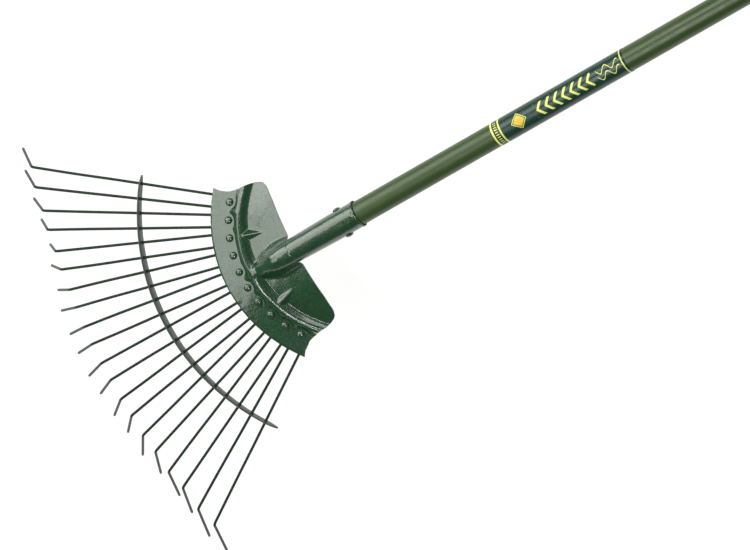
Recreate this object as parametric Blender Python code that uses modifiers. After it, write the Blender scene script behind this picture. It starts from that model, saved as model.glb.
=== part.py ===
"""Spring-tine lawn rake: a pressed steel head with a rolled socket, ten riveted hairpin tines,
a curved spacer strip and a sleeved tubular handle.

The head is laid out in its own frame: X runs forward to the tine tips, Y runs across, Z is the
upper side, and the origin is the point where the centre lines of all ten hairpins meet.
The whole rake lies on the floor on its outermost tips and the butt of its handle.
"""

import math

import bmesh
import bpy
from mathutils import Matrix, Vector

MM = 0.001

# Head pressing
SHEET = 1.6 * MM
REAR_EDGE_X = 84.0 * MM
FRONT_RADIUS = 183.0 * MM
ARCH = 1.45
RIB_FRONT_RADIUS = 152.0 * MM
RIB_CREST_RADIUS = 144.5 * MM
RIB_REAR_RADIUS = 132.0 * MM
RIB_HEIGHT = 6.5 * MM
DART_ANGLE = math.radians(18.0)
DART_HEIGHT = 3.6 * MM
DART_BASE_RADIUS = 136.0 * MM
DART_TIP_RADIUS = 113.0 * MM

# Half angle of the pressing's side edge, in degrees, at each radius in millimetres
SIDE_EDGE = (
    (104.0, 39.5),
    (108.0, 42.6),
    (113.0, 44.4),
    (120.0, 45.0),
    (127.0, 44.4),
    (134.0, 42.6),
    (142.0, 40.4),
    (152.0, 38.6),
    (164.0, 37.0),
    (183.0, 36.4),
)

# Rolled socket, on the handle's axis
HANDLE_DIP = math.radians(7.0)
AXIS_HEIGHT = 2.5 * MM
SOCKET_LENGTH = 90.0 * MM
SOCKET_TAIL = 21.0 * MM
SOCKET_WALL = 1.25 * MM
SOCKET_MOUTH_BORE = 14.35 * MM
SOCKET_THROAT_BORE = 13.1 * MM
SOCKET_RIVET_DEPTH = 22.0 * MM

# Tines: ten hairpins of round wire, each looped round its own rivet
PAIRS = 10
PAIR_STEP = math.radians(7.15)
WIRE_RADIUS = 1.6 * MM
LEG_OFFSET = 7.0 * MM
LEG_SPREAD = 0.0208
LOOP_RADIUS = 6.4 * MM
LOOP_CENTRE = 156.0 * MM
BEND_REACH = 374.5 * MM
BEND_ARC = 1005.0 * MM
HOOK_LENGTH = 80.5 * MM
HOOK_ANGLE = math.radians(50.3)
HOOK_BEND_RADIUS = 7.0 * MM

# Rivets and the clamping strip under the tines
RIVET_RADIUS = 160.0 * MM
RIVET_SHANK = 2.0 * MM
RIVET_HOLE = 2.35 * MM
RIVET_HEAD = 4.1 * MM
GAP = 0.3 * MM
STRIP_INNER = 146.5 * MM
STRIP_OUTER = 180.5 * MM
STRIP_HALF_ANGLE = math.radians(35.6)

# Spacer strip across the tines, standing on edge
SPACER_RADIUS = 275.5 * MM
SPACER_HALF_ANGLE = math.radians(36.3)
SPACER_WIDTH = 12.8 * MM
SPACER_END_WIDTH = 9.6 * MM
SPACER_THICKNESS = 1.6 * MM
SPACER_HOLE = 2.0 * MM

# Handle
TUBE_OUTER = 12.7 * MM
TUBE_INNER = 11.5 * MM
SLEEVE_INNER = 12.95 * MM
SLEEVE_OUTER = 14.0 * MM
HANDLE_LENGTH = 1300.0 * MM
TUBE_INSERT = 80.0 * MM
SLEEVE_INSERT = 33.0 * MM
LABEL_START = 186.0 * MM
LABEL_LENGTH = 177.0 * MM
LABEL_INNER = 14.1 * MM
LABEL_OUTER = 14.3 * MM
CAP_OUTER = 15.6 * MM
CAP_COVER = 36.0 * MM
CAP_WALL = 4.0 * MM

# How the rake lies: the head's nose-down pitch and the apex above the floor and behind mid-length
PITCH = math.radians(2.209)
APEX_X = 401.5 * MM
APEX_Z = 126.13 * MM

WIRE_DEPTH = SHEET + GAP + WIRE_RADIUS
STRIP_DEPTH = SHEET + 2.0 * GAP + 2.0 * WIRE_RADIUS


def clear_scene():
    """Start from an empty scene."""
    for obj in list(bpy.data.objects):
        bpy.data.objects.remove(obj, do_unlink=True)


def new_collection(name):
    collection = bpy.data.collections.new(name)
    bpy.context.scene.collection.children.link(collection)
    return collection


def material(name, colour, roughness, metallic):
    """One Principled material."""
    mat = bpy.data.materials.new(name)
    mat.use_nodes = True
    shader = mat.node_tree.nodes["Principled BSDF"]
    shader.inputs["Base Color"].default_value = (*colour, 1.0)
    shader.inputs["Roughness"].default_value = roughness
    shader.inputs["Metallic"].default_value = metallic
    return mat


def add_object(name, data, collection, parent, mat=None):
    obj = bpy.data.objects.new(name, data)
    collection.objects.link(obj)
    obj.parent = parent
    if mat is not None:
        obj.data.materials.append(mat)
    return obj


def as_guide(obj):
    """Mark an object that only shapes another one."""
    obj.hide_render = True
    obj.display_type = "WIRE"
    return obj


def ease(value):
    """Smooth step from 0 at 0 to 1 at 1."""
    value = min(1.0, max(0.0, value))
    return value * value * (3.0 - 2.0 * value)


def side_angle(radius):
    """Half angle of the pressing's side edge at a radius."""
    r = radius / MM
    if r <= SIDE_EDGE[0][0]:
        return math.radians(SIDE_EDGE[0][1])
    for (r0, a0), (r1, a1) in zip(SIDE_EDGE, SIDE_EDGE[1:]):
        if r <= r1:
            return math.radians(a0 + (a1 - a0) * (r - r0) / (r1 - r0))
    return math.radians(SIDE_EDGE[-1][1])


def pair_angle(index):
    """Direction of a hairpin's centre line."""
    return PAIR_STEP * (index - (PAIRS - 1) / 2.0)


def arch_height(angle):
    """Height of the arched tine seat, the same all along a radius."""
    y = FRONT_RADIUS * math.sin(angle)
    return -ARCH * y * y


def sheet_height(radius, angle):
    """Height of the pressing's upper face."""
    if radius >= RIB_CREST_RADIUS:
        z = arch_height(angle)
    else:
        y = radius * math.sin(angle) * FRONT_RADIUS / RIB_CREST_RADIUS
        z = -ARCH * y * y
    if radius > RIB_CREST_RADIUS:
        rib = ease((RIB_FRONT_RADIUS - radius) / (RIB_FRONT_RADIUS - RIB_CREST_RADIUS))
    else:
        rib = ease((radius - RIB_REAR_RADIUS) / (RIB_CREST_RADIUS - RIB_REAR_RADIUS))
    z += RIB_HEIGHT * rib
    along = (DART_BASE_RADIUS - radius) / (DART_BASE_RADIUS - DART_TIP_RADIUS)
    if 0.0 <= along < 1.0:
        half_width = 6.5 * MM * (1.0 - along)
        across = abs(abs(angle) - DART_ANGLE) * radius
        if across < half_width:
            z += DART_HEIGHT * (1.0 - along) * (1.0 - across / half_width)
    return z


def polar(radius, angle, z):
    return Vector((radius * math.cos(angle), radius * math.sin(angle), z))


def seat_frame(index):
    """Matrix of a hairpin's seat: X forward, Y across in the sheet, Z out of the upper face."""
    angle = pair_angle(index)
    mean = 0.5 * (RIVET_RADIUS + FRONT_RADIUS)
    slope = -2.0 * ARCH * FRONT_RADIUS**2 * math.sin(angle) * math.cos(angle) / mean
    forward = Vector((math.cos(angle), math.sin(angle), 0.0))
    across = Vector((-math.sin(angle), math.cos(angle), slope)).normalized()
    up = forward.cross(across)
    frame = Matrix((forward, across, up)).transposed().to_4x4()
    frame.translation = Vector((0.0, 0.0, arch_height(angle)))
    return frame


def leg_offset(radius):
    return LEG_OFFSET + LEG_SPREAD * (radius - FRONT_RADIUS)


def bend_radius_on_pair(index, side):
    """Radius along the pair's line at which a leg meets the arc of the hook bends."""
    angle = pair_angle(index)
    centre = Vector((BEND_REACH - BEND_ARC, 0.0))
    forward = Vector((math.cos(angle), math.sin(angle)))
    across = Vector((-math.sin(angle), math.cos(angle)))
    start = across * side * leg_offset(BEND_REACH) - centre
    along = start.dot(forward)
    return -along + math.sqrt(along * along - start.length_squared + BEND_ARC**2)


def hairpin_points(index):
    """Centre line of one hairpin, from one hook's tip round the rivet to the other's."""
    frame = seat_frame(index)
    spread = (pair_angle(index) / 0.6) ** 2
    hook = HOOK_LENGTH * (1.0 + 0.38 * spread)
    drop = HOOK_ANGLE + 0.127 * spread
    down = frame.to_3x3().inverted() @ Vector((0.0, 0.0, -1.0))
    legs = []
    for side in (-1.0, 1.0):
        bend = bend_radius_on_pair(index, side)
        corner = Vector((bend, side * leg_offset(bend), -WIRE_DEPTH))
        heading = Vector((1.0, side * LEG_SPREAD, 0.0)).normalized()
        fall = (down - down.dot(heading) * heading).normalized()
        trim = HOOK_BEND_RADIUS * math.tan(drop / 2.0)
        hub = corner - heading * trim + fall * HOOK_BEND_RADIUS
        leg = []
        for step in range(5):
            turn = drop * step / 4.0
            leg.append(hub + HOOK_BEND_RADIUS * (math.sin(turn) * heading - math.cos(turn) * fall))
        leg.append(corner + hook * (math.cos(drop) * heading + math.sin(drop) * fall))
        legs.append(leg)
    loop = []
    half_turn = math.radians(90.0)
    for step in range(9):
        turn = half_turn + 2.0 * half_turn * step / 8.0
        loop.append(Vector((
            LOOP_CENTRE + LOOP_RADIUS * math.cos(turn),
            -LOOP_RADIUS * math.sin(turn),
            -WIRE_DEPTH,
        )))
    points = list(reversed(legs[0])) + loop + legs[1]
    return [frame @ point for point in points]


def to_mesh_object(curve_object, collection, parent, mat):
    """Turn a bevelled curve into a closed mesh object of the same name."""
    name = curve_object.name
    depsgraph = bpy.context.evaluated_depsgraph_get()
    mesh = bpy.data.meshes.new_from_object(curve_object.evaluated_get(depsgraph))
    bpy.data.objects.remove(curve_object, do_unlink=True)
    bm = bmesh.new()
    bm.from_mesh(mesh)
    bmesh.ops.remove_doubles(bm, verts=bm.verts, dist=0.00001)
    bm.to_mesh(mesh)
    bm.free()
    mesh.name = name
    obj = add_object(name, mesh, collection, parent)
    obj.data.materials.clear()
    obj.data.materials.append(mat)
    mesh.shade_smooth()
    mesh.set_sharp_from_angle(angle=math.radians(50.0))
    return obj


def wire(name, points, radius, collection, parent, mat):
    """Round wire along a poly line, with flat ends."""
    curve = bpy.data.curves.new(name, "CURVE")
    curve.dimensions = "3D"
    curve.bevel_depth = radius
    curve.bevel_resolution = 2
    curve.use_fill_caps = True
    spline = curve.splines.new("POLY")
    spline.points.add(len(points) - 1)
    for slot, point in zip(spline.points, points):
        slot.co = (*point, 1.0)
    obj = add_object(name, curve, collection, parent)
    bpy.context.view_layer.update()
    return to_mesh_object(obj, collection, parent, mat)


def turned(name, profile, steps, collection, parent, mat, closed):
    """Turn a profile of (radius, height) pairs about Z with a Screw modifier."""
    mesh = bpy.data.meshes.new(name)
    points = [(radius, 0.0, height) for radius, height in profile]
    edges = [(i, i + 1) for i in range(len(points) - 1)]
    if closed:
        edges.append((len(points) - 1, 0))
    mesh.from_pydata(points, edges, [])
    obj = add_object(name, mesh, collection, parent, mat)
    screw = obj.modifiers.new("turn", "SCREW")
    screw.axis = "Z"
    screw.steps = steps
    screw.render_steps = steps
    screw.use_merge_vertices = True
    screw.merge_threshold = 0.00001
    screw.use_smooth_shade = True
    return obj


def ring_profile(outer, inner, low, high):
    """Closed section of a plain tube, outer side first, top to bottom."""
    return [(outer, high), (outer, low), (inner, low), (inner, high)]


def lofted(name, sections, collection, parent, mat=None):
    """Closed solid through rings of equal length, with flat ends."""
    bm = bmesh.new()
    rings = [[bm.verts.new(point) for point in section] for section in sections]
    count = len(rings[0])
    for ring, following in zip(rings, rings[1:]):
        for i in range(count):
            j = (i + 1) % count
            bm.faces.new((ring[i], ring[j], following[j], following[i]))
    bm.faces.new(list(reversed(rings[0])))
    bm.faces.new(rings[-1])
    bmesh.ops.recalc_face_normals(bm, faces=bm.faces)
    mesh = bpy.data.meshes.new(name)
    bm.to_mesh(mesh)
    bm.free()
    return add_object(name, mesh, collection, parent, mat)


def rods(name, placements, radius, half_length, sides, collection, parent):
    """Cutter of several straight rods, each along the Z of its own matrix."""
    bm = bmesh.new()
    for placement in placements:
        bmesh.ops.create_cone(
            bm,
            cap_ends=True,
            segments=sides,
            radius1=radius,
            radius2=radius,
            depth=2.0 * half_length,
            matrix=placement,
        )
    mesh = bpy.data.meshes.new(name)
    bm.to_mesh(mesh)
    bm.free()
    return as_guide(add_object(name, mesh, collection, parent))


def boolean(obj, other, operation):
    modifier = obj.modifiers.new(other.name, "BOOLEAN")
    modifier.operation = operation
    modifier.solver = "EXACT"
    modifier.object = other
    return modifier


def grid_sheet(name, columns, radii_of, angle_of, height_of, thickness, collection, parent, mat):
    """Bent sheet: a grid laid on radii and angles, thickened downwards."""
    rows = len(radii_of(0.0))
    bpy.ops.mesh.primitive_grid_add(x_subdivisions=columns - 1, y_subdivisions=rows - 1, size=2.0)
    obj = bpy.context.object
    obj.name = name
    obj.data.name = name
    for vertex in obj.data.vertices:
        u = vertex.co.x
        row = round((vertex.co.y + 1.0) / 2.0 * (rows - 1))
        radius = radii_of(u)[row]
        angle = angle_of(u, radius)
        vertex.co = polar(radius, angle, height_of(radius, angle))
    obj.data.flip_normals()
    for owner in list(obj.users_collection):
        owner.objects.unlink(obj)
    collection.objects.link(obj)
    obj.parent = parent
    obj.data.materials.append(mat)
    obj.data.shade_smooth()
    solid = obj.modifiers.new("thickness", "SOLIDIFY")
    solid.thickness = thickness
    solid.offset = -1.0
    return obj


def head_radii(u):
    """Grid rows of the pressing, from the straight rear edge to the front arc."""
    corner = math.radians(SIDE_EDGE[0][1])
    rear = REAR_EDGE_X / math.cos(min(abs(u) * math.radians(39.5), corner))
    flat = [rear + (130.0 * MM - rear) * step / 6.0 for step in range(6)]
    fixed = [130.0, 133.5, 137.0, 141.0, 144.5, 148.0, 151.5, 156.0, 164.0, 174.0, 183.0]
    return flat + [value * MM for value in fixed]


def head_angle(u, radius):
    return u * side_angle(radius)


def make_head_plate(parts, cutters, parent, handle_frame, mat, holes):
    """The pressing: arched sheet, cross rib, darts, centre swage and rolled socket in one piece."""
    plate = grid_sheet(
        "head_plate", 53, head_radii, head_angle, sheet_height, SHEET, parts, parent, mat
    )
    swage = (
        (86.0, 13.6, 16.2),
        (94.0, 14.2, 17.6),
        (103.0, 14.0, 18.6),
        (112.0, 12.6, 17.4),
        (121.0, 10.8, 15.2),
        (130.0, 8.6, 12.4),
        (138.0, 6.0, 9.6),
        (145.0, 3.6, 7.4),
        (151.0, 1.6, 4.0),
    )
    sections = []
    hollow = []
    for x, half_width, height in swage:
        ring = []
        inner = []
        for step in range(13):
            turn = math.pi * step / 12.0
            y = math.cos(turn)
            z = math.sin(turn)
            ring.append((x * MM, half_width * y * MM, (height * z - 0.2) * MM))
            inner_half = max(half_width - 1.5, 0.5)
            inner.append((x * MM, inner_half * y * MM, (max(height - 1.5, 1.2) * z - 1.0) * MM))
        ring.append((x * MM, -half_width * MM, -1.1 * MM))
        ring.append((x * MM, half_width * MM, -1.1 * MM))
        inner.append((x * MM, -inner_half * MM, -6.0 * MM))
        inner.append((x * MM, inner_half * MM, -6.0 * MM))
        sections.append(ring)
        if 90.0 < x < 146.0:
            hollow.append(inner)
    swage_solid = as_guide(lofted("head_swage", sections, cutters, parent))
    swage_hollow = as_guide(lofted("head_swage_hollow", hollow, cutters, parent))

    mouth = SOCKET_MOUTH_BORE + SOCKET_WALL
    throat = SOCKET_THROAT_BORE + SOCKET_WALL
    outer_profile = [
        (0.0, 0.0),
        (mouth + 0.2 * MM, 0.0),
        (mouth + 0.5 * MM, -0.6 * MM),
        (mouth + 0.5 * MM, -2.6 * MM),
        (mouth, -3.4 * MM),
        (mouth, -34.0 * MM),
        (throat, -SOCKET_LENGTH),
        (throat - 1.1 * MM, -SOCKET_LENGTH - SOCKET_TAIL),
        (0.0, -SOCKET_LENGTH - SOCKET_TAIL),
    ]
    socket = as_guide(
        turned("socket_outside", outer_profile, 32, cutters, handle_frame, None, False)
    )
    bore_profile = [
        (0.0, 5.0 * MM),
        (SOCKET_MOUTH_BORE, 5.0 * MM),
        (SOCKET_MOUTH_BORE, -35.0 * MM),
        (SOCKET_THROAT_BORE, -SOCKET_LENGTH),
        (SOCKET_THROAT_BORE - 1.1 * MM, -SOCKET_LENGTH - SOCKET_TAIL - 2.0 * MM),
        (0.0, -SOCKET_LENGTH - SOCKET_TAIL - 2.0 * MM),
    ]
    bore = as_guide(turned("socket_bore", bore_profile, 32, cutters, handle_frame, None, False))
    bore.rotation_euler = (0.0, 0.0, math.pi / 32.0)

    boolean(plate, holes, "DIFFERENCE")
    boolean(plate, swage_solid, "UNION")
    boolean(plate, socket, "UNION")
    boolean(plate, swage_hollow, "DIFFERENCE")
    boolean(plate, bore, "DIFFERENCE")
    return plate


def strip_radii(_):
    span = STRIP_OUTER - STRIP_INNER
    return [STRIP_INNER + span * step / 2.0 for step in range(3)]


def strip_angle(u, _):
    return u * STRIP_HALF_ANGLE


def strip_height(_, angle):
    return arch_height(angle) - STRIP_DEPTH


def make_spacer(parts, cutters, parent, mat):
    """Curved strip on edge, pointed at both ends, with a hole for every tine."""
    sections = []
    stations = 46
    point_start = SPACER_HALF_ANGLE - 11.0 * MM / SPACER_RADIUS
    for step in range(stations + 1):
        angle = SPACER_HALF_ANGLE * (2.0 * step / stations - 1.0)
        share = abs(angle) / SPACER_HALF_ANGLE
        width = SPACER_WIDTH + (SPACER_END_WIDTH - SPACER_WIDTH) * share**2
        if abs(angle) > point_start:
            close = (abs(angle) - point_start) / (SPACER_HALF_ANGLE - point_start)
            width *= 1.0 - 0.72 * close
        middle = arch_height(angle) - WIRE_DEPTH
        ring = []
        for side, level in ((-1, -1), (1, -1), (1, 1), (-1, 1)):
            radius = SPACER_RADIUS + side * SPACER_THICKNESS / 2.0
            ring.append(polar(radius, angle, middle + level * width / 2.0))
        sections.append(ring)
    spacer = lofted("spacer_strip", sections, parts, parent, mat)
    placements = []
    for index in range(PAIRS):
        frame = seat_frame(index)
        for side in (-1.0, 1.0):
            heading = Vector((1.0, side * LEG_SPREAD, 0.0)).normalized()
            spot = Vector((SPACER_RADIUS, side * leg_offset(SPACER_RADIUS), -WIRE_DEPTH))
            turn = heading.to_track_quat("Z", "Y").to_matrix().to_4x4()
            placements.append(frame @ Matrix.Translation(spot) @ turn)
    holes = rods("spacer_holes", placements, SPACER_HOLE, 4.0 * MM, 10, cutters, parent)
    boolean(spacer, holes, "DIFFERENCE")
    return spacer


def rivet_profile():
    """Domed head above the sheet, shank, and flat closed end under the clamping strip."""
    top = 0.2 * MM
    tail = -(STRIP_DEPTH + SHEET + 0.2 * MM)
    dome = []
    for step in range(4):
        turn = math.radians(90.0) * step / 3.0
        dome.append((RIVET_HEAD * math.sin(turn), top + 0.7 * MM + 2.0 * MM * math.cos(turn)))
    return dome + [
        (RIVET_HEAD, top),
        (RIVET_SHANK, top),
        (RIVET_SHANK, tail),
        (3.5 * MM, tail),
        (3.2 * MM, tail - 1.2 * MM),
        (0.0, tail - 1.2 * MM),
    ]


def make_rake():
    clear_scene()
    parts = new_collection("spring_tine_lawn_rake")
    cutters = new_collection("cutters")

    enamel = material("head_enamel", (0.035, 0.115, 0.070), 0.32, 0.0)
    wire_enamel = material("tine_enamel", (0.020, 0.060, 0.038), 0.40, 0.0)
    rivet_enamel = material("rivet_enamel", (0.025, 0.085, 0.052), 0.35, 0.0)
    tube_steel = material("tube_steel", (0.42, 0.42, 0.40), 0.35, 1.0)
    sleeve_green = material("sleeve_green", (0.052, 0.105, 0.034), 0.35, 0.0)
    label_film = material("label_film", (0.012, 0.070, 0.045), 0.30, 0.0)
    cap_green = material("cap_green", (0.020, 0.050, 0.022), 0.55, 0.0)

    base = bpy.data.objects.new("rake_frame", None)
    base.location = (APEX_X, 0.0, APEX_Z)
    base.rotation_euler = (0.0, PITCH, 0.0)
    parts.objects.link(base)

    handle_frame = bpy.data.objects.new("handle_frame", None)
    handle_frame.location = (
        REAR_EDGE_X - SOCKET_LENGTH * math.cos(HANDLE_DIP),
        0.0,
        AXIS_HEIGHT - SOCKET_LENGTH * math.sin(HANDLE_DIP),
    )
    handle_frame.rotation_euler = (0.0, -math.radians(90.0) - HANDLE_DIP, 0.0)
    parts.objects.link(handle_frame)
    handle_frame.parent = base

    seats = [seat_frame(index) for index in range(PAIRS)]
    spots = [seat @ Matrix.Translation((RIVET_RADIUS, 0.0, 0.0)) for seat in seats]
    holes = rods("rivet_holes", spots, RIVET_HOLE, 14.0 * MM, 16, cutters, base)

    plate = make_head_plate(parts, cutters, base, handle_frame, enamel, holes)
    strip = grid_sheet(
        "clamp_strip", 41, strip_radii, strip_angle, strip_height, SHEET, parts, base, enamel
    )
    boolean(strip, holes, "DIFFERENCE")

    cross = Matrix.Translation((0.0, 0.0, -SOCKET_RIVET_DEPTH)) @ Matrix.Rotation(
        math.radians(90.0), 4, "X"
    )
    cross_hole = rods(
        "cross_rivet_hole", [cross], 2.8 * MM, 25.0 * MM, 16, cutters, handle_frame
    )
    boolean(plate, cross_hole, "DIFFERENCE")

    for index in range(PAIRS):
        number = index + 1
        wire(
            f"tine_pair_{number:02d}",
            hairpin_points(index),
            WIRE_RADIUS,
            parts,
            base,
            wire_enamel,
        )
        rivet = turned(
            f"tine_rivet_{number:02d}", rivet_profile(), 14, parts, base, rivet_enamel, False
        )
        rivet.matrix_local = spots[index]

    make_spacer(parts, cutters, base, wire_enamel)

    reach = HANDLE_LENGTH - TUBE_INSERT
    tube = turned(
        "handle_tube",
        ring_profile(TUBE_OUTER, TUBE_INNER, -TUBE_INSERT, reach),
        32,
        parts,
        handle_frame,
        tube_steel,
        True,
    )
    sleeve = turned(
        "handle_sleeve",
        ring_profile(SLEEVE_OUTER, SLEEVE_INNER, -SLEEVE_INSERT, reach),
        32,
        parts,
        handle_frame,
        sleeve_green,
        True,
    )
    boolean(tube, cross_hole, "DIFFERENCE")
    boolean(sleeve, cross_hole, "DIFFERENCE")

    turned(
        "handle_label",
        ring_profile(LABEL_OUTER, LABEL_INNER, LABEL_START, LABEL_START + LABEL_LENGTH),
        32,
        parts,
        handle_frame,
        label_film,
        True,
    )

    seat = SOCKET_MOUTH_BORE + SOCKET_WALL + 0.2 * MM
    cross_profile = [
        (0.0, seat + 2.4 * MM),
        (2.6 * MM, seat + 2.1 * MM),
        (4.6 * MM, seat + 0.9 * MM),
        (5.0 * MM, seat),
        (2.5 * MM, seat),
        (2.5 * MM, -seat),
        (5.0 * MM, -seat),
        (4.6 * MM, -seat - 0.9 * MM),
        (2.6 * MM, -seat - 2.1 * MM),
        (0.0, -seat - 2.4 * MM),
    ]
    cross_rivet = turned(
        "socket_rivet", cross_profile, 16, parts, handle_frame, rivet_enamel, False
    )
    cross_rivet.matrix_local = cross

    end = reach + 0.3 * MM + CAP_WALL
    inside = SLEEVE_OUTER + 0.3 * MM
    cap_profile = [
        (0.0, end),
        (CAP_OUTER - 3.0 * MM, end),
        (CAP_OUTER - 0.9 * MM, end - 0.9 * MM),
        (CAP_OUTER, end - 3.0 * MM),
        (CAP_OUTER, reach - CAP_COVER + 1.0 * MM),
        (CAP_OUTER - 0.6 * MM, reach - CAP_COVER),
        (inside, reach - CAP_COVER),
        (inside, reach + 0.3 * MM),
        (0.0, reach + 0.3 * MM),
    ]
    turned("end_cap", cap_profile, 32, parts, handle_frame, cap_green, False)


make_rake()
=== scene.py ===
"""Spring-tine lawn rake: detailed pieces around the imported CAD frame, with camera and studio light."""
import math
import random

import bpy
import numpy as np
from mathutils import Matrix, Vector


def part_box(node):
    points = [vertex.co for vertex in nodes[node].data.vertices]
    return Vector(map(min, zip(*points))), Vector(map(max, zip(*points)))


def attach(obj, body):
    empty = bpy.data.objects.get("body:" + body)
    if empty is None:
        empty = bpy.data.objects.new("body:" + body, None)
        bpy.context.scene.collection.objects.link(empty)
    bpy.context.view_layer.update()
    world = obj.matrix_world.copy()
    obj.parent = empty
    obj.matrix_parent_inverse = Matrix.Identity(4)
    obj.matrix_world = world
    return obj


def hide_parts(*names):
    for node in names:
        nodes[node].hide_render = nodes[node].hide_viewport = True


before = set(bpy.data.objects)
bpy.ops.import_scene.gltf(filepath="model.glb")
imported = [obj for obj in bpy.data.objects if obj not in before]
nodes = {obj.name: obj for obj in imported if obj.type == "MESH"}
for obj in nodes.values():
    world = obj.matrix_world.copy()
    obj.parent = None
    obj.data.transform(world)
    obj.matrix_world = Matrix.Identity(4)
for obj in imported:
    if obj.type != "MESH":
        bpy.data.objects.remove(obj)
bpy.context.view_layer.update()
scene = bpy.context.scene
rng = random.Random(11)

# Sizes are in millimetres and become metres in piece()
MM = 0.001

# Pressing: its fan's centre is the local origin, +X runs along the middle to the tips
PAIRS = 10
PAIR_STEP = math.radians(7.15)
FRONT = 183.0
REAR_X = 84.0
ARCH = 0.00145
RIB_HEIGHT = 6.5
RIVET_CIRCLE = 160.0
SHEET = 1.6

# Hairpins: legs part as they run out, and their bends lie on one wide circle
WIRE = 1.6
WIRE_DEPTH = 3.5
WIRE_SIDES = 14
LEG_GAP = 7.0
LEG_SPREAD = 0.0208
ROOT = 158.0
LOOP_CENTRE = 156.0
LOOP_RADIUS = 6.4
MIDDLE_BEND = 374.5
BEND_CIRCLE = 1005.0
BEND_TRIM = 4.6

# Strips
STRIP_DEPTH = 5.4
SPACER_CIRCLE = 275.5
SPACER_WIDTH = 12.8
SPACER_END_WIDTH = 9.6
SPACER_HALF_SHEET = 0.8
SPACER_POINT = 12.0
HOLE_RADIUS = 2.2

# Socket and handle: the socket's mouth is their local origin, +Z runs to the butt
DIP = math.radians(7.0)
SOCKET = 90.0
SOCKET_RADIUS = 15.6
CROSS_RIVET = 22.0
SLEEVE_RADIUS = 14.0
SLEEVE_BORE = 12.95
SLEEVE_END = 1220.0
SLEEVE_DEPTH = 33.0
LABEL_START = 186.0
LABEL_END = 363.0
LABEL_RADIUS = 14.3
CAP_RADIUS = 15.6

# Side edge of the pressing: radius and half angle in degrees, from the ear's rear corner forward
SIDE_EDGE = np.array((
    (111.9, 42.1), (116.0, 43.4), (121.7, 44.2), (126.0, 44.0), (131.0, 43.2), (136.5, 42.0),
    (142.2, 40.6), (149.0, 38.7), (156.4, 37.1), (162.0, 36.3), (168.0, 35.9), (175.0, 36.0),
    (183.0, 36.5),
))

# Ridge that runs from the socket down into the rib: x, half width, height of its top
RIDGE = np.array((
    (84.0, 14.35, 16.75), (92.0, 14.3, 17.9), (100.0, 14.0, 18.4), (108.0, 13.3, 17.9),
    (115.0, 12.4, 16.2), (121.0, 11.3, 13.7), (126.0, 10.4, 11.3), (130.0, 9.6, 9.5),
    (134.0, 8.8, 8.1), (138.0, 8.0, 7.1), (142.0, 7.3, 6.0), (146.0, 6.6, 4.0), (151.0, 5.8, -2.0),
    (156.0, 5.0, -10.0),
    (190.0, 1.0, -40.0),
))

# How far the rib's foot reaches out between neighbouring rivets, from one side to the other
TONGUES = (0.2, 1.0, 0.3, 0.0, 0.1, 0.8, 0.6, 0.9, 0.7, 0.9, 0.3)


# ---------------------------------------------------------------- frames

def middle(node):
    low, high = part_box(node)
    return (low + high) / 2.0


cross_centre = middle("socket_rivet")
rearward = (middle("handle_tube") - cross_centre).normalized()
upward = Vector((0.0, 1.0, 0.0)).cross(rearward)
HANDLE = Matrix((upward, (0.0, 1.0, 0.0), rearward)).transposed().to_4x4()
HANDLE.translation = cross_centre + rearward * CROSS_RIVET * MM
mouth_in_fan = Vector((REAR_X - SOCKET * math.cos(DIP), 0.0, 2.5 - SOCKET * math.sin(DIP))) * MM
FAN = HANDLE @ Matrix.Rotation(math.radians(90.0) + DIP, 4, "Y") @ Matrix.Translation(-mouth_in_fan)


# ---------------------------------------------------------------- shapes

def ease(t):
    t = np.clip(t, 0.0, 1.0)
    return t * t * (3.0 - 2.0 * t)


def smooth_max(a, b, k):
    h = np.clip(0.5 + 0.5 * (a - b) / k, 0.0, 1.0)
    return b * (1.0 - h) + a * h + k * h * (1.0 - h)


def pair_angle(index):
    return PAIR_STEP * (index - (PAIRS - 1) / 2.0)


def arch_height(angle):
    return -ARCH * (FRONT * np.sin(angle)) ** 2


def leg_offset(radius):
    return LEG_GAP + LEG_SPREAD * (radius - FRONT)


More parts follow.
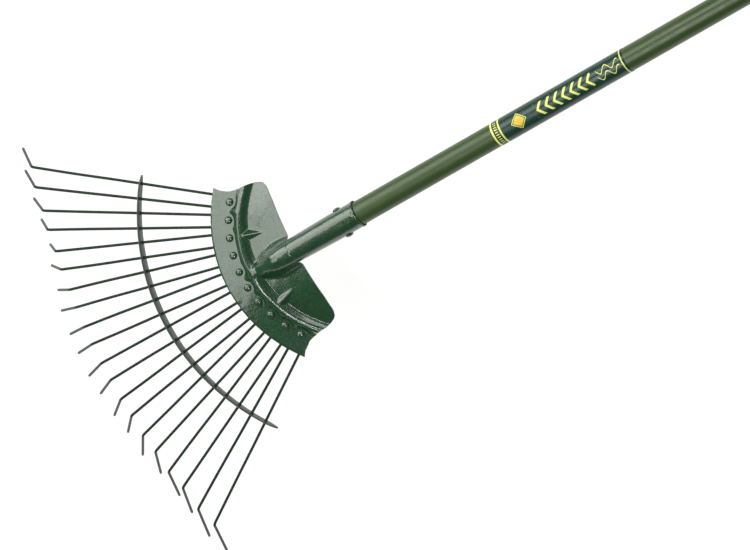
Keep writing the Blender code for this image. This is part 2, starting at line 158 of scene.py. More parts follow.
def head_height(x, y):
    """Height of the pressing's upper face over the fan's plane, all in millimetres."""
    r = np.hypot(x, y)
    angle = np.arctan2(y, x)
    lateral = np.where(r >= 144.5, FRONT, r * FRONT / 144.5) * np.sin(angle)
    base = -ARCH * lateral**2

    # Rib, whose foot reaches out between the rivets and gives way to the flats round them
    gap = angle / PAIR_STEP + PAIRS / 2.0
    nearest = np.clip(np.round(gap), 0, PAIRS).astype(int)
    spread = (gap - nearest) * PAIR_STEP * RIVET_CIRCLE
    tongue = np.array(TONGUES)[nearest] * np.exp(-((spread / 4.6) ** 2))
    foot = 153.0 + 7.5 * tongue
    pull = 2.2 * np.exp(-((angle / 0.07) ** 2))
    rear_foot = 134.2 - 1.0 * ease((np.abs(angle) - 0.45) / 0.3) - pull
    front = ease((foot - r) / (foot - 146.9 + pull))
    rear = ease((r - rear_foot) / (143.9 - pull - rear_foot))
    rib = RIB_HEIGHT * np.minimum(front, rear)
    crown = 0.45 * np.exp(-(((r - 145.4 + pull) / 1.3) ** 2))

    seat = np.ones_like(r)
    for index in range(PAIRS):
        a = pair_angle(index)
        away = np.hypot(x - RIVET_CIRCLE * math.cos(a), y - RIVET_CIRCLE * math.sin(a))
        seat *= ease((away - 4.7) / 2.3)
    z = base + (rib + crown * front * rear) * seat

    # Two gussets behind the rib
    share = np.clip((r - 113.0) / 31.0, 0.0, 1.0)
    across = np.abs(np.abs(angle) - math.radians(18.0)) * r
    gusset = base + 0.2 + 7.2 * share - 0.92 * np.hypot(across, 1.3)
    z = np.where(r < 144.0, smooth_max(gusset, z, 0.8), z)

    # Ridge that carries on from the socket
    half_width = np.interp(x, RIDGE[:, 0], RIDGE[:, 1])
    top = np.interp(x, RIDGE[:, 0], RIDGE[:, 2])
    s = np.abs(y) / half_width
    bend = 0.88
    crown_height = (top - half_width) + half_width * np.sqrt(np.clip(1.0 - s * s, 0.0, 1.0))
    slope = bend / math.sqrt(1.0 - bend * bend)
    flank = (top - half_width) + half_width * math.sqrt(1.0 - bend * bend)
    flank = flank - slope * (np.abs(y) - bend * half_width)
    ridge = np.where(s < bend, crown_height, flank)
    blend = np.interp(x, (84.0, 90.0, 104.0, 122.0, 136.0, 150.0), (1.6, 3.5, 7.0, 7.5, 5.5, 3.0))
    z = smooth_max(ridge, z, blend)

    # Faint waves over the wires, the front lip and the unevenness of the sheet
    pitch = PAIR_STEP * r
    side = np.abs(((angle / PAIR_STEP + PAIRS / 2.0) % 1.0 - 0.5) * pitch) - leg_offset(r)
    z = z + 0.16 * np.exp(-((side / 2.0) ** 2)) * ease((r - 173.0) / 9.0)
    z = z - 0.45 * ease((r - 180.6) / 2.4)
    z = z + 0.10 * np.sin(0.13 * x + 1.0) * np.sin(0.11 * y) + 0.06 * np.sin(0.31 * x) * np.cos(0.27 * y)
    return z


def grid_faces(rows, columns, closed=False):
    faces = []
    last = columns if closed else columns - 1
    for i in range(rows - 1):
        for j in range(last):
            k = (j + 1) % columns
            faces.append((i * columns + j, i * columns + k, (i + 1) * columns + k, (i + 1) * columns + j))
    return faces


def piece(name, points, faces, mat, place, replaced=(), sharp=35.0):
    """New piece from points in millimetres in a local frame; it rides on the root body."""
    world = place.to_3x3()
    mesh = bpy.data.meshes.new(name)
    points = np.asarray(points, float) * MM
    points = points @ np.array(world).T + np.array(place.translation)
    mesh.from_pydata(points.tolist(), [], faces)
    mesh.materials.append(mat)
    mesh.shade_smooth()
    mesh.set_sharp_from_angle(angle=math.radians(sharp))
    obj = bpy.data.objects.new(name, mesh)
    scene.collection.objects.link(obj)
    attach(obj, "root")
    if replaced:
        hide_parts(*replaced)
    return obj


def thicken(obj, thickness, rounding=0.0):
    solid = obj.modifiers.new("sheet", "SOLIDIFY")
    solid.thickness = thickness * MM
    solid.offset = -1.0
    if rounding:
        bevel = obj.modifiers.new("edges", "BEVEL")
        bevel.width = rounding * MM
        bevel.segments = 2
        bevel.limit_method = "ANGLE"
        bevel.angle_limit = math.radians(60.0)


def turned(name, profile, mat, place, replaced=(), sides=64, sharp=35.0):
    """Solid turned about the local Z from (radius, height) pairs; both ends may lie on the axis."""
    points, rings = [], []
    for radius, height in profile:
        if radius < 1e-6:
            rings.append([len(points)])
            points.append((0.0, 0.0, height))
        else:
            rings.append(list(range(len(points), len(points) + sides)))
            for step in range(sides):
                turn = 2.0 * math.pi * step / sides
                points.append((radius * math.cos(turn), radius * math.sin(turn), height))
    faces = []
    closed = rings + ([rings[0]] if len(rings[0]) > 1 else [])
    for low, high in zip(closed, closed[1:]):
        for step in range(sides):
            following = (step + 1) % sides
            if len(low) == 1:
                faces.append((low[0], high[following], high[step]))
            elif len(high) == 1:
                faces.append((low[step], low[following], high[0]))
            else:
                faces.append((low[step], low[following], high[following], high[step]))
    obj = piece(name, points, faces, mat, place, replaced, sharp)
    return face_outwards(obj)


def face_outwards(obj):
    mesh = obj.data
    mesh.calc_loop_triangles()
    volume = 0.0
    for triangle in mesh.loop_triangles:
        a, b, c = (mesh.vertices[i].co for i in triangle.vertices)
        volume += a.dot(b.cross(c))
    if volume < 0.0:
        mesh.flip_normals()
    return obj


def sweep_bar(path, radii, sides):
    """Round bar along a path, closed with a fan at each end."""
    path = np.asarray(path, float)
    tangents = np.gradient(path, axis=0)
    tangents /= np.linalg.norm(tangents, axis=1)[:, None]
    normal = np.cross(tangents[0], (0.0, 0.0, 1.0))
    normal /= np.linalg.norm(normal)
    points = []
    turns = np.linspace(0.0, 2.0 * math.pi, sides, endpoint=False)
    for point, tangent, radius in zip(path, tangents, radii):
        normal = normal - tangent * normal.dot(tangent)
        normal /= np.linalg.norm(normal)
        other = np.cross(tangent, normal)
        for turn in turns:
            points.append(point + radius * (math.cos(turn) * normal + math.sin(turn) * other))
    faces = grid_faces(len(path), sides, True)
    count = len(points)
    points += [path[0], path[-1]]
    for j in range(sides):
        k = (j + 1) % sides
        faces.append((count, k, j))
        faces.append((count + 1, count - sides + j, count - sides + k))
    return points, faces


# ---------------------------------------------------------------- materials

class Nodes:
    """Small helper for one material's node tree."""

    def __init__(self, name):
        self.mat = bpy.data.materials.new(name)
        self.mat.use_nodes = True
        self.tree = self.mat.node_tree
        self.shader = self.tree.nodes["Principled BSDF"]
        self.where = self.tree.nodes.new("ShaderNodeTexCoord").outputs["Object"]

    def put(self, socket, value):
        if isinstance(value, bpy.types.NodeSocket):
            self.tree.links.new(value, socket)
        else:
            socket.default_value = value

    def set(self, **values):
        for key, value in values.items():
            self.put(self.shader.inputs[key.replace("_", " ")], value)

    def noise(self, scale, detail=2.0, rough=0.5, vector=None):
        node = self.tree.nodes.new("ShaderNodeTexNoise")
        self.put(node.inputs["Vector"], vector or self.where)
        node.inputs["Scale"].default_value = scale
        node.inputs["Detail"].default_value = detail
        node.inputs["Roughness"].default_value = rough
        return node.outputs["Fac"]

    def cells(self, scale):
        node = self.tree.nodes.new("ShaderNodeTexVoronoi")
        node.feature = "SMOOTH_F1"
        self.put(node.inputs["Vector"], self.where)
        node.inputs["Scale"].default_value = scale
        node.inputs["Smoothness"].default_value = 0.6
        return node.outputs["Distance"]

    def stretched(self, axis_scale):
        node = self.tree.nodes.new("ShaderNodeMapping")
        self.put(node.inputs["Vector"], self.where)
        node.inputs["Scale"].default_value = axis_scale
        return node.outputs["Vector"]

    def math(self, operation, a, b=0.0, c=0.0):
        node = self.tree.nodes.new("ShaderNodeMath")
        node.operation = operation
        for socket, value in zip(node.inputs, (a, b, c)):
            self.put(socket, value)
        return node.outputs[0]

    def spread(self, value, low, high, to_low=0.0, to_high=1.0):
        node = self.tree.nodes.new("ShaderNodeMapRange")
        for socket, number in zip(node.inputs, (value, low, high, to_low, to_high)):
            self.put(socket, number)
        return node.outputs[0]

    def mix(self, factor, a, b):
        node = self.tree.nodes.new("ShaderNodeMix")
        node.data_type = "RGBA"
        self.put(node.inputs["Factor"], factor)
        for key, value in (("A", a), ("B", b)):
            socket = [s for s in node.inputs if s.name == key and s.type == "RGBA"][0]
            self.put(socket, value if isinstance(value, bpy.types.NodeSocket) else (*value, 1.0))
        return [s for s in node.outputs if s.type == "RGBA"][0]

    def bump(self, height, strength, distance, below=None):
        node = self.tree.nodes.new("ShaderNodeBump")
        node.inputs["Strength"].default_value = strength
        node.inputs["Distance"].default_value = distance
        self.put(node.inputs["Height"], height)
        if below is not None:
            self.put(node.inputs["Normal"], below)
        return node.outputs["Normal"]

    def along(self, origin, axis):
        shift = self.tree.nodes.new("ShaderNodeVectorMath")
        shift.operation = "SUBTRACT"
        self.put(shift.inputs[0], self.where)
        shift.inputs[1].default_value = origin
        dot = self.tree.nodes.new("ShaderNodeVectorMath")
        dot.operation = "DOT_PRODUCT"
        self.put(dot.inputs[0], shift.outputs[0])
        dot.inputs[1].default_value = axis
        return self.math("MULTIPLY", dot.outputs["Value"], 1000.0)


def enamel(name, deep, light, grain, strength, roughness, coat=1.0):
    """Gloss enamel sprayed over steel, with an orange-peel grain and a tone that varies at random in soft
    clouds.
    """
    n = Nodes(name)
    fine = n.cells(grain)
    soft = n.noise(grain * 0.45, 3.0)
    cloudy = n.noise(28.0, 3.0)
    tint = n.math("ADD", n.math("MULTIPLY", soft, 0.55), n.math("MULTIPLY", cloudy, 0.45))
    n.set(
        Base_Color=n.mix(n.spread(tint, 0.35, 0.65), deep, light),
        Roughness=n.spread(n.noise(grain * 0.8, 2.0), 0.3, 0.7, roughness - 0.05, roughness + 0.07),
        Coat_Weight=coat,
        Coat_Roughness=0.12,
        Specular_IOR_Level=0.7,
    )
    wave = n.bump(n.noise(150.0, 2.0), 0.25, 0.0006)
    n.set(Normal=n.bump(fine, strength, 0.0004, n.bump(soft, strength * 0.7, 0.0004, wave)))
    return n.mat


def wire_enamel():
    """Thin dark enamel on drawn wire, rubbed through to bare steel at the tips."""
    n = Nodes("wire_enamel")
    wear = n.tree.nodes.new("ShaderNodeAttribute")
    wear.attribute_name = "wear"
    patches = n.math("MULTIPLY", n.noise(420.0, 4.0, 0.7), 0.5)
    bare = n.spread(n.math("ADD", wear.outputs["Fac"], patches), 0.86, 1.16)
    paint = n.mix(n.noise(240.0, 3.0), (0.009, 0.023, 0.014), (0.020, 0.042, 0.026))
    steel = n.mix(n.noise(900.0, 2.0), (0.16, 0.155, 0.145), (0.34, 0.33, 0.31))
    n.set(
        Base_Color=n.mix(bare, paint, steel),
        Metallic=n.spread(bare, 0.0, 1.0, 0.0, 0.85),
        Roughness=n.spread(bare, 0.0, 1.0, 0.45, 0.5),
        Specular_IOR_Level=0.15,
        Normal=n.bump(n.noise(1300.0, 2.0), 0.5, 0.0002),
    )
    return n.mat


def sleeve_plastic():
    """Extruded plastic over the tube: faint draw lines along it and a slightly uneven gloss."""
    n = Nodes("sleeve_plastic")
    lines = n.noise(1.0, 2.0, 0.5, n.stretched((6.0, 620.0, 620.0)))
    specks = n.noise(900.0, 2.0)
    cloudy = n.noise(9.0, 3.0)
    tint = n.math("ADD", n.math("MULTIPLY", lines, 0.5), n.math("MULTIPLY", cloudy, 0.5))
    n.set(
        Base_Color=n.mix(n.spread(tint, 0.3, 0.7), (0.030, 0.066, 0.012), (0.044, 0.086, 0.020)),
        Roughness=n.spread(n.noise(60.0, 4.0), 0.3, 0.7, 0.27, 0.36),
        Specular_IOR_Level=0.5,
        Normal=n.bump(specks, 0.12, 0.0003, n.bump(lines, 0.10, 0.0004)),
    )
    return n.mat


def label_print():
    """Printed film: dark ground, two end bands, a lozenge, a row of chevrons and two waves."""
    n = Nodes("label_print")
    start = HANDLE.translation + HANDLE.col[2].xyz * LABEL_START * MM
    length = n.along(start, HANDLE.col[2].xyz)
    up = n.along(start, HANDLE.col[0].xyz)
    side = n.along(start, HANDLE.col[1].xyz)
    around = n.math("MULTIPLY", n.math("ARCTAN2", side, up), LABEL_RADIUS)
    outward = n.math("ABSOLUTE", around)

    def within(value, low, high):
        over = n.spread(value, low - 0.15, low + 0.15)
        under = n.spread(value, high - 0.15, high + 0.15, 1.0, 0.0)
        return n.math("MULTIPLY", over, under)

    def both(*parts):
        result = parts[0]
        for part in parts[1:]:
            result = n.math("MULTIPLY", result, part)
        return result

    def either(*parts):
        result = parts[0]
        for part in parts[1:]:
            result = n.math("MAXIMUM", result, part)
        return result

    def repeat(value, pitch):
        return n.math("MULTIPLY", n.math("FRACT", n.math("DIVIDE", value, pitch)), pitch)

    bands = either(within(length, 1.0, 3.2), within(length, 10.6, 12.6), within(length, 173.2, 174.6))
    ticks = both(within(length, 5.0, 8.8), within(repeat(n.math("ADD", around, 50.0), 3.0), 0.6, 1.7),
                 within(outward, -1.0, 15.0))
    swept = n.math("ADD", n.math("SUBTRACT", length, n.math("MULTIPLY", outward, 0.75)), 30.0)
    chevrons = both(within(repeat(swept, 11.0), 2.0, 5.4), within(outward, -1.0, 8.2),
                    within(length, 58.0, 134.0))
    offset = n.math("MULTIPLY", n.math("SINE", n.math("MULTIPLY", length, 0.42)), 3.6)
    wave_one = within(n.math("ADD", around, offset), 3.2, 4.5)
    wave_two = within(n.math("ADD", around, offset), -4.5, -3.2)
    waves = both(either(wave_one, wave_two), within(length, 141.0, 170.0))
    reach = n.math("ADD", n.math("ABSOLUTE", n.math("SUBTRACT", length, 36.0)), outward)
    lozenge = within(reach, -1.0, 7.6)
    outline = within(reach, 8.8, 10.0)

    ground = n.mix(n.noise(50.0, 2.0), (0.004, 0.034, 0.020), (0.008, 0.052, 0.036))
    pale = either(bands, ticks, chevrons, waves, outline)
    colour = n.mix(pale, ground, (0.86, 0.92, 0.20))
    colour = n.mix(lozenge, colour, (0.86, 0.58, 0.045))
    n.set(
        Base_Color=colour,
        Roughness=n.spread(n.noise(300.0, 2.0), 0.3, 0.7, 0.20, 0.30),
        Specular_IOR_Level=0.5,
        Normal=n.bump(n.math("ADD", pale, lozenge), 0.15, 0.0001, n.bump(n.noise(80.0, 2.0), 0.1, 0.0004)),
    )
    return n.mat


def cap_plastic():
    """Moulded satin plastic with a fine spark-eroded grain."""
    n = Nodes("cap_plastic")
    n.set(
        Base_Color=n.mix(n.noise(120.0, 3.0), (0.012, 0.030, 0.014), (0.022, 0.046, 0.022)),
        Roughness=n.spread(n.noise(700.0, 2.0), 0.3, 0.7, 0.42, 0.58),
        Normal=n.bump(n.noise(1500.0, 2.0), 0.3, 0.0002),
    )
    return n.mat


def drawn_steel():
    n = Nodes("drawn_steel")
    lines = n.noise(1.0, 3.0, 0.6, n.stretched((4.0, 900.0, 900.0)))
    n.set(
        Base_Color=n.mix(lines, (0.30, 0.29, 0.28), (0.50, 0.49, 0.47)),
        Metallic=1.0,
        Roughness=n.spread(lines, 0.3, 0.7, 0.30, 0.46),
        Normal=n.bump(lines, 0.2, 0.0002),
    )
    return n.mat


def floor_paper():
    n = Nodes("floor_paper")
    n.set(
        Base_Color=n.mix(n.noise(3.0, 2.0), (0.14, 0.14, 0.14), (0.16, 0.16, 0.16)),
        Roughness=0.9,
        Specular_IOR_Level=0.1,
        Emission_Color=(1.0, 1.0, 0.995, 1.0),
        Emission_Strength=0.92,
        Normal=n.bump(n.noise(900.0, 2.0), 0.05, 0.0003),
    )
    return n.mat


HEAD = enamel("hammered_enamel", (0.002, 0.036, 0.009), (0.007, 0.062, 0.018), 400.0, 0.4, 0.24, 0.85)
RIVETS = enamel("rivet_enamel_gloss", (0.003, 0.036, 0.010), (0.007, 0.058, 0.019), 400.0, 0.25, 0.22, 0.85)
SPACER = enamel("spacer_enamel", (0.016, 0.040, 0.022), (0.030, 0.062, 0.036), 560.0, 0.5, 0.42, 0.1)
TINES = wire_enamel()


# ---------------------------------------------------------------- head pressing

def build_head():
    columns = 281
    rear_rows, front_rows = 48, 70
    u = np.linspace(-1.0, 1.0, columns)
    rear_angle = u * math.radians(SIDE_EDGE[0, 1])
    y_rear = REAR_X * np.tan(rear_angle)
    rear_x = REAR_X + 0.8 * ease((np.abs(y_rear) - 60.0) / 16.0)
    rear_radius = rear_x / np.cos(rear_angle)
    rows = []
    for step in range(rear_rows):
        t = step / rear_rows
        edge_radius = SIDE_EDGE[0, 0] + (130.0 - SIDE_EDGE[0, 0]) * t
        half = np.radians(np.interp(edge_radius, SIDE_EDGE[:, 0], SIDE_EDGE[:, 1]))
        rows.append((rear_radius + (130.0 - rear_radius) * t, u * half))
    for step in range(front_rows + 1):
        radius = 130.0 + (FRONT - 130.0) * step / front_rows
        half = np.radians(np.interp(radius, SIDE_EDGE[:, 0], SIDE_EDGE[:, 1]))
        rows.append((np.full(columns, radius), u * half))
    points = []
    for radius, angle in rows:
        x, y = radius * np.cos(angle), radius * np.sin(angle)
        points.append(np.stack([x, y, head_height(x, y)], 1))
    faces = grid_faces(len(rows), columns)
    head = piece("head_pressing", np.concatenate(points), [f[::-1] for f in faces], HEAD, FAN,
                 ("head_plate",), sharp=75.0)
    if head.data.polygons[len(faces) // 2].normal.z < 0.0:
        head.data.flip_normals()
    thicken(head, SHEET, 0.3)


def build_socket():
    """Rolled tube of the socket; its seam is underneath and it opens out under the pressing."""
    stations = [
        (0.0, 15.55), (-0.25, 15.9), (-0.8, 16.15), (-1.8, 16.2), (-2.8, 16.05), (-3.6, 15.75),
        (-5.0, 15.6),
    ]
    stations += [(-z, SOCKET_RADIUS) for z in range(8, 35, 3)]
    stations += [(-34.0 - 56.0 * s / 20.0, SOCKET_RADIUS - 1.25 * s / 20.0) for s in range(21)]
    stations += [(-90.0 - 1.5 * s, 14.35 - 0.06 * s) for s in range(1, 12)]
    columns = 97
    points = []
    for z, radius in stations:
        opening = ease((-z - 86.0) / 18.0)
        half = math.radians(178.2) * (1.0 - opening) + math.radians(74.0) * opening
        for angle in np.linspace(-half, half, columns):
            local = radius - 0.45 * ease((-z - 88.0) / 6.0)
            points.append((local * math.cos(angle), local * math.sin(angle), z))
    faces = grid_faces(len(stations), columns)
    tube = piece("socket_tube", points, faces, HEAD, HANDLE, (), sharp=60.0)
    probe = tube.data.polygons[(len(stations) // 2) * (columns - 1) + columns // 2]
    if probe.normal.z < 0.0:
        tube.data.flip_normals()
    thicken(tube, 1.2, 0.25)


# ---------------------------------------------------------------- tines, strips and rivets

def seat_frame(index):
    """Frame of one pair: along it, across it and out of the arched face under its rivet."""
    angle = pair_angle(index)
    mean = 0.5 * (RIVET_CIRCLE + FRONT)
    slope = -2.0 * ARCH * FRONT**2 * math.sin(angle) * math.cos(angle) / mean
    forward = Vector((math.cos(angle), math.sin(angle), 0.0))
    across = Vector((-math.sin(angle), math.cos(angle), slope)).normalized()
    up = forward.cross(across)
    seat = Matrix((forward, across, up)).transposed().to_4x4()
    seat.translation = Vector((0.0, 0.0, arch_height(angle)))
    return seat


def bend_radius_on_pair(index, side):
    """Where a leg meets the circle of bends, along its pair's own direction."""
    angle = pair_angle(index)
    forward = Vector((math.cos(angle), math.sin(angle)))
    across = Vector((-math.sin(angle), math.cos(angle)))
    start = across * side * leg_offset(MIDDLE_BEND) - Vector((MIDDLE_BEND - BEND_CIRCLE, 0.0))
    along = start.dot(forward)
    return -along + math.sqrt(along * along - start.length_squared + BEND_CIRCLE**2)


def leg_line(index, side):
    """One leg in its seat's frame: front edge exit, heading and corner; the whole fan sweeps a little."""
    number = 2 * index + (1 if side < 0 else 2)
    sweep = -math.radians(1.35 + 2.4 * math.sin(math.pi * number / 24.0) ** 1.2)
    turn = sweep + math.atan(side * LEG_SPREAD)
    leave = Vector((FRONT, side * leg_offset(FRONT), -WIRE_DEPTH))
    heading = Vector((math.cos(turn), math.sin(turn), 0.0))
    return number, leave, heading, leave + heading * (bend_radius_on_pair(index, side) - FRONT)


def build_tines():
    """Ten hairpins: hook, leg, loop round the rivet, leg and hook. The tips are a little uneven."""
    for index in range(PAIRS):
        seat = seat_frame(index)
        down = seat.to_3x3().inverted() @ Vector((0.0, 0.0, -1.0))
        legs = []
        for side in (-1.0, 1.0):
            number, leave, heading, corner = leg_line(index, side)
            free = 0.0 if index in (0, PAIRS - 1) else 1.0
            away = abs(number - 10.5)
            drop = 55.8 - 9.0 * math.exp(-((away / 4.2) ** 2))
            drop += 3.8 * math.exp(-(((number - 5.0) / 1.3) ** 2))
            drop = math.radians(drop + free * rng.uniform(-0.8, 0.8))
            hook = (82.0 + 27.0 * (away / 9.5) ** 1.5) * (1.0 + free * rng.uniform(-0.015, 0.015))
            bow = rng.uniform(-0.9, 0.9)
            yaw = 6.0 * math.exp(-(((number - 16.7) / 1.2) ** 2)) - 1.5
            yaw = math.radians(yaw) + math.atan(side * LEG_SPREAD)
            outward = Vector((math.cos(yaw), math.sin(yaw), 0.0))
            fall = (down - down.dot(outward) * outward).normalized()
            hook_line = math.cos(drop) * outward + math.sin(drop) * fall
            # The two outermost tips are the ones that the rake lies on
            if number in (1, 2 * PAIRS):
                level = (FAN @ (seat @ corner * MM)).z / MM
                hook = (level - 1.0) / -(FAN.to_3x3() @ seat.to_3x3() @ hook_line).z
            knee = corner - heading * BEND_TRIM
            root = Vector((ROOT, side * leg_offset(ROOT), -WIRE_DEPTH))
            leg = [root.lerp(leave, step / 6.0) for step in range(6)]
            for step in range(24):
                t = step / 24.0
                sag = bow * math.sin(math.pi * max(0.0, (t - 0.56) / 0.44))
                leg.append(leave.lerp(knee, t) + Vector((0.0, 0.4 * sag, sag)))
            end = corner + hook_line * BEND_TRIM
            for step in range(9):
                t = step / 8.0
                leg.append(knee * (1.0 - t) ** 2 + corner * 2.0 * t * (1.0 - t) + end * t * t)
            tip = corner + hook * hook_line
            for t in (0.15, 0.3, 0.45, 0.6, 0.75, 0.88, 0.96, 0.985, 0.995, 1.0):
                leg.append(end.lerp(tip, t))
            legs.append(leg)
        loop = []
        for step in range(1, 20):
            turn = math.radians(90.0 + 180.0 * step / 20.0)
            loop.append(Vector((LOOP_CENTRE + LOOP_RADIUS * math.cos(turn),
                                -LOOP_RADIUS * math.sin(turn), -WIRE_DEPTH)))
        path = [seat @ p for p in list(reversed(legs[0])) + loop + legs[1]]
        radii = np.full(len(path), WIRE)
        for offset, share in enumerate((0.35, 0.72, 0.93)):
            radii[offset] = WIRE * share
            radii[-1 - offset] = WIRE * share
        points, faces = sweep_bar([tuple(p) for p in path], radii, WIRE_SIDES)
        obj = piece(f"hairpin_{index + 1:02d}", points, faces, TINES, FAN,
                    (f"tine_pair_{index + 1:02d}",), sharp=60.0)
        wear = np.zeros(len(path))
        for step in range(10):
            wear[step] = wear[-1 - step] = 1.0 - step / 10.0
        values = np.concatenate([np.repeat(wear, WIRE_SIDES), [1.0, 1.0]]).astype(np.float32)
        obj.data.attributes.new("wear", "FLOAT", "POINT").data.foreach_set("value", values)
        face_outwards(obj)


def build_rivets():
    for index in range(PAIRS):
        seat = seat_frame(index)
        tilt = Matrix.Rotation(rng.uniform(-0.05, 0.05), 4, "X") @ Matrix.Rotation(
            rng.uniform(-0.05, 0.05), 4, "Y")
        spot = Matrix.Translation(Vector((RIVET_CIRCLE, 0.0, 0.0)) * MM)
        placed = seat.copy()
        placed.translation = seat.translation * MM
        swell = rng.uniform(0.97, 1.04)
        dome = []
        for step in range(11):
            turn = math.radians(90.0) * step / 10.0
            dome.append((4.4 * swell * math.sin(turn) ** 0.92, 0.9 + 2.2 * math.cos(turn)))
        tail = -(STRIP_DEPTH + 1.8)
        profile = [(0.0, dome[0][1])] + dome[1:] + [
            (4.5 * swell, 0.55), (4.3 * swell, 0.1), (2.0, 0.0), (2.0, tail), (3.3, tail),
            (3.55, tail - 0.3), (3.4, tail - 0.9), (2.8, tail - 1.15), (1.2, tail - 1.3),
            (0.0, tail - 1.32),
        ]
        turned(f"rivet_{index + 1:02d}", profile, RIVETS, FAN @ placed @ spot @ tilt,
               (f"tine_rivet_{index + 1:02d}",), sides=40, sharp=50.0)


def build_clamp_strip():
    """Strip under the tines, pressed down a little where each wire runs."""
    columns, rows = 221, 33
    half = math.radians(35.6)
    points = []
    for i in range(rows):
        v = i / (rows - 1)
        radius = 146.5 + 34.0 * v
        inset = 0.012 * (1.0 - min(1.0, 6.0 * v) * min(1.0, 6.0 * (1.0 - v)))
        for j in range(columns):
            angle = (half - inset) * (2.0 * j / (columns - 1) - 1.0)
            z = arch_height(angle) - STRIP_DEPTH
            slot_place = ((angle / PAIR_STEP + PAIRS / 2.0) % 1.0 - 0.5) * PAIR_STEP * radius
            from_wire = (abs(slot_place) - leg_offset(radius)) / 1.7
            z -= 0.5 * math.exp(-(from_wire**2)) * ease((radius - ROOT) / 8.0)
            points.append((radius * math.cos(angle), radius * math.sin(angle), z))
    strip = piece("clamping_strip", points, grid_faces(rows, columns), HEAD, FAN,
                  ("clamp_strip",), sharp=60.0)
    if strip.data.polygons[0].normal.z < 0.0:
        strip.data.flip_normals()
    thicken(strip, SHEET, 0.25)


def build_spacer():
    """Curved strip on edge with rounded edges, pointed ends and a hole for every tine."""
    stations = 180
    reach = math.radians(36.3)
    point_start = reach - SPACER_POINT / SPACER_CIRCLE
    section = ((-1, -0.9), (-0.45, -1), (0.45, -1), (1, -0.9), (1, 0), (1, 0.9), (0.45, 1), (-0.45, 1),
               (-1, 0.9), (-1, 0))
    points = []
    for step in range(stations + 1):
        angle = reach * (2.0 * step / stations - 1.0)
        width = SPACER_WIDTH - (SPACER_WIDTH - SPACER_END_WIDTH) * (abs(angle) / reach) ** 2
        if abs(angle) > point_start:
            width *= 1.0 - 0.74 * ((abs(angle) - point_start) / (reach - point_start)) ** 1.3
        level = arch_height(angle) - WIRE_DEPTH
        for side, height in section:
            radius = SPACER_CIRCLE + side * SPACER_HALF_SHEET
            points.append((radius * math.cos(angle), radius * math.sin(angle),
                           level + height * width / 2.0))
    count = len(section)
    faces = grid_faces(stations + 1, count, True)
    faces.append(tuple(range(count)))
    faces.append(tuple(reversed(range(stations * count, (stations + 1) * count))))
    spacer = face_outwards(piece("spacer", points, faces, SPACER, FAN, ("spacer_strip",),
                                 sharp=40.0))
    points, faces = [], []
    for index in range(PAIRS):
        seat = seat_frame(index)
        for side in (-1.0, 1.0):
            leave, heading = leg_line(index, side)[1:3]
            start = seat @ (leave + heading * (SPACER_CIRCLE - 6.5 - FRONT))
            end = seat @ (leave + heading * (SPACER_CIRCLE + 6.5 - FRONT))
            rod, rod_faces = sweep_bar([start, start.lerp(end, 0.5), end], (HOLE_RADIUS,) * 3, 16)
            faces += [tuple(i + len(points) for i in f) for f in rod_faces]
            points += rod
    mesh = bpy.data.meshes.new("spacer_holes")
    place = np.array(FAN.to_3x3())
    world = np.asarray([tuple(p) for p in points]) * MM @ place.T + np.array(FAN.translation)
    mesh.from_pydata(world.tolist(), [], faces)
    cutter = bpy.data.objects.new("spacer_holes", mesh)
    scene.collection.objects.link(cutter)
    face_outwards(cutter)
    cut = spacer.modifiers.new("holes", "BOOLEAN")
    cut.solver = "EXACT"
    cut.object = cutter
    bpy.context.view_layer.update()
    shaped = bpy.data.meshes.new_from_object(
        spacer.evaluated_get(bpy.context.evaluated_depsgraph_get()))
    spacer.modifiers.clear()
    spacer.data = shaped
    bpy.data.objects.remove(cutter, do_unlink=True)
    shaped.shade_smooth()
    shaped.set_sharp_from_angle(angle=math.radians(40.0))


def build_cross_rivet():
    place = HANDLE @ Matrix.Translation((0.0, 0.0, -CROSS_RIVET * MM)) @ Matrix.Rotation(
        math.radians(90.0), 4, "X")
    seat = SOCKET_RADIUS + 0.1
    head = [(0.0, seat + 2.4), (1.4, seat + 2.33), (2.7, seat + 2.05), (3.8, seat + 1.5),
            (4.6, seat + 0.8), (4.95, seat + 0.2), (4.9, seat - 0.35), (2.4, seat - 0.4)]
    tail = [(radius, -height) for radius, height in reversed(head)]
    turned("cross_rivet", head + tail, RIVETS, place, ("socket_rivet",), sides=48,
           sharp=50.0)


# ---------------------------------------------------------------- handle

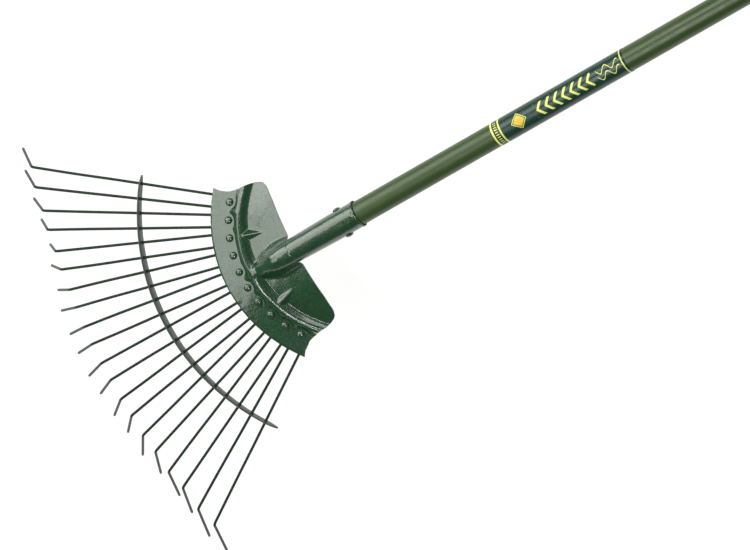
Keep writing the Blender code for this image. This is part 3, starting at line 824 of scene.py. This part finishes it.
def build_handle():
    """Sleeve, printed film and ribbed end cap; the tube inside keeps its CAD shape."""
    outer, reach = SLEEVE_RADIUS, SLEEVE_END
    profile = [(outer - 0.25, -SLEEVE_DEPTH), (outer, 0.4 - SLEEVE_DEPTH)]
    profile += [(outer, z) for z in np.linspace(-20.0, reach - 10.0, 60)]
    profile += [(outer, reach - 0.4), (outer - 0.3, reach), (SLEEVE_BORE, reach),
                (SLEEVE_BORE, -SLEEVE_DEPTH)]
    turned("sleeve", profile, sleeve_plastic(), HANDLE, ("handle_sleeve",), sides=96,
           sharp=50.0)
    low, high, film_radius = LABEL_START, LABEL_END, LABEL_RADIUS
    film = [(film_radius - 0.2, low), (film_radius - 0.06, low), (film_radius, low + 0.15)]
    film += [(film_radius, z) for z in np.linspace(low + 4.0, high - 4.0, 24)]
    film += [(film_radius, high - 0.15), (film_radius - 0.06, high), (film_radius - 0.2, high)]
    turned("label", film, label_print(), HANDLE, ("handle_label",), sides=96, sharp=70.0)
    end = reach + 4.3
    start = reach - 36.0
    cap = [(0.0, end - 0.9), (6.0, end - 0.8), (8.0, end - 0.2), (9.2, end), (12.2, end),
           (13.6, end - 0.35), (14.8, end - 1.2), (15.4, end - 2.3), (CAP_RADIUS, end - 3.6)]
    for groove in range(5):
        z = end - 9.0 - 5.0 * groove
        cap += [(CAP_RADIUS, z + 1.1), (15.2, z + 0.6), (15.05, z), (15.2, z - 0.6),
                (CAP_RADIUS, z - 1.1)]
    cap += [(CAP_RADIUS, start + 1.2), (15.45, start + 0.5), (15.0, start), (14.3, start),
            (14.3, reach + 0.3), (0.0, reach + 0.3)]
    turned("cap", cap, cap_plastic(), HANDLE, ("end_cap",), sides=96, sharp=50.0)
    nodes["handle_tube"].data.materials.clear()
    nodes["handle_tube"].data.materials.append(drawn_steel())


build_head()
build_socket()
build_tines()
build_rivets()
build_clamp_strip()
build_spacer()
build_cross_rivet()
build_handle()


# ---------------------------------------------------------------- floor, light and camera

def aim(obj, place, target):
    obj.location = place
    obj.rotation_euler = (Vector(target) - Vector(place)).to_track_quat("-Z", "Y").to_euler()
    scene.collection.objects.link(obj)


def softbox(name, place, target, width, height, power):
    lamp = bpy.data.lights.new(name, "AREA")
    lamp.shape = "RECTANGLE"
    lamp.size, lamp.size_y = width, height
    lamp.energy = power
    lamp.color = (1.0, 0.985, 0.955)
    aim(bpy.data.objects.new(name, lamp), place, target)


FLOOR_SPAN = 30.0
WORLD_STRENGTH = 0.15
CAMERA_LENS = 339.0
CAMERA_PLACE = (-2.934, 0.5280, 7.2581)
CAMERA_RIGHT = Vector((-0.7851, 0.4739, -0.3987))
CAMERA_LOOK = Vector((0.4239, -0.0581, -0.9038))

floor_mesh = bpy.data.meshes.new("floor")
span = FLOOR_SPAN
floor_mesh.from_pydata([(-span, -span, 0.0), (span, -span, 0.0), (span, span, 0.0), (-span, span, 0.0)],
                       [], [(0, 1, 2, 3)])
floor_mesh.materials.append(floor_paper())
floor = bpy.data.objects.new("floor", floor_mesh)
scene.collection.objects.link(floor)

head_centre = middle("head_plate")
softbox("key_softbox", (1.45, -0.95, 2.25), head_centre, 2.8, 1.15, 30.0)
softbox("handle_softbox", (-0.7, -1.5, 2.3), (-0.3, 0.0, 0.0), 3.0, 1.1, 36.0)
softbox("side_softbox", (1.65, -1.95, 1.47), head_centre, 1.4, 1.3, 22.0)
softbox("strip_softbox", (0.42, 0.55, 2.3), head_centre, 0.1, 1.4, 14.0)

world = bpy.data.worlds.new("studio")
world.use_nodes = True
world.node_tree.nodes["Background"].inputs["Color"].default_value = (1.0, 1.0, 1.0, 1.0)
world.node_tree.nodes["Background"].inputs["Strength"].default_value = WORLD_STRENGTH
scene.world = world

camera_data = bpy.data.cameras.new("camera")
camera_data.sensor_width = 36.0
camera_data.lens = CAMERA_LENS
camera_data.clip_end = 100.0
camera = bpy.data.objects.new("camera", camera_data)
scene.collection.objects.link(camera)
rise = CAMERA_RIGHT.cross(CAMERA_LOOK).normalized()
right = CAMERA_LOOK.cross(rise).normalized()
camera.matrix_world = Matrix((right, rise, -CAMERA_LOOK)).transposed().to_4x4()
camera.location = CAMERA_PLACE
scene.camera = camera
scene.view_settings.view_transform = "Standard"
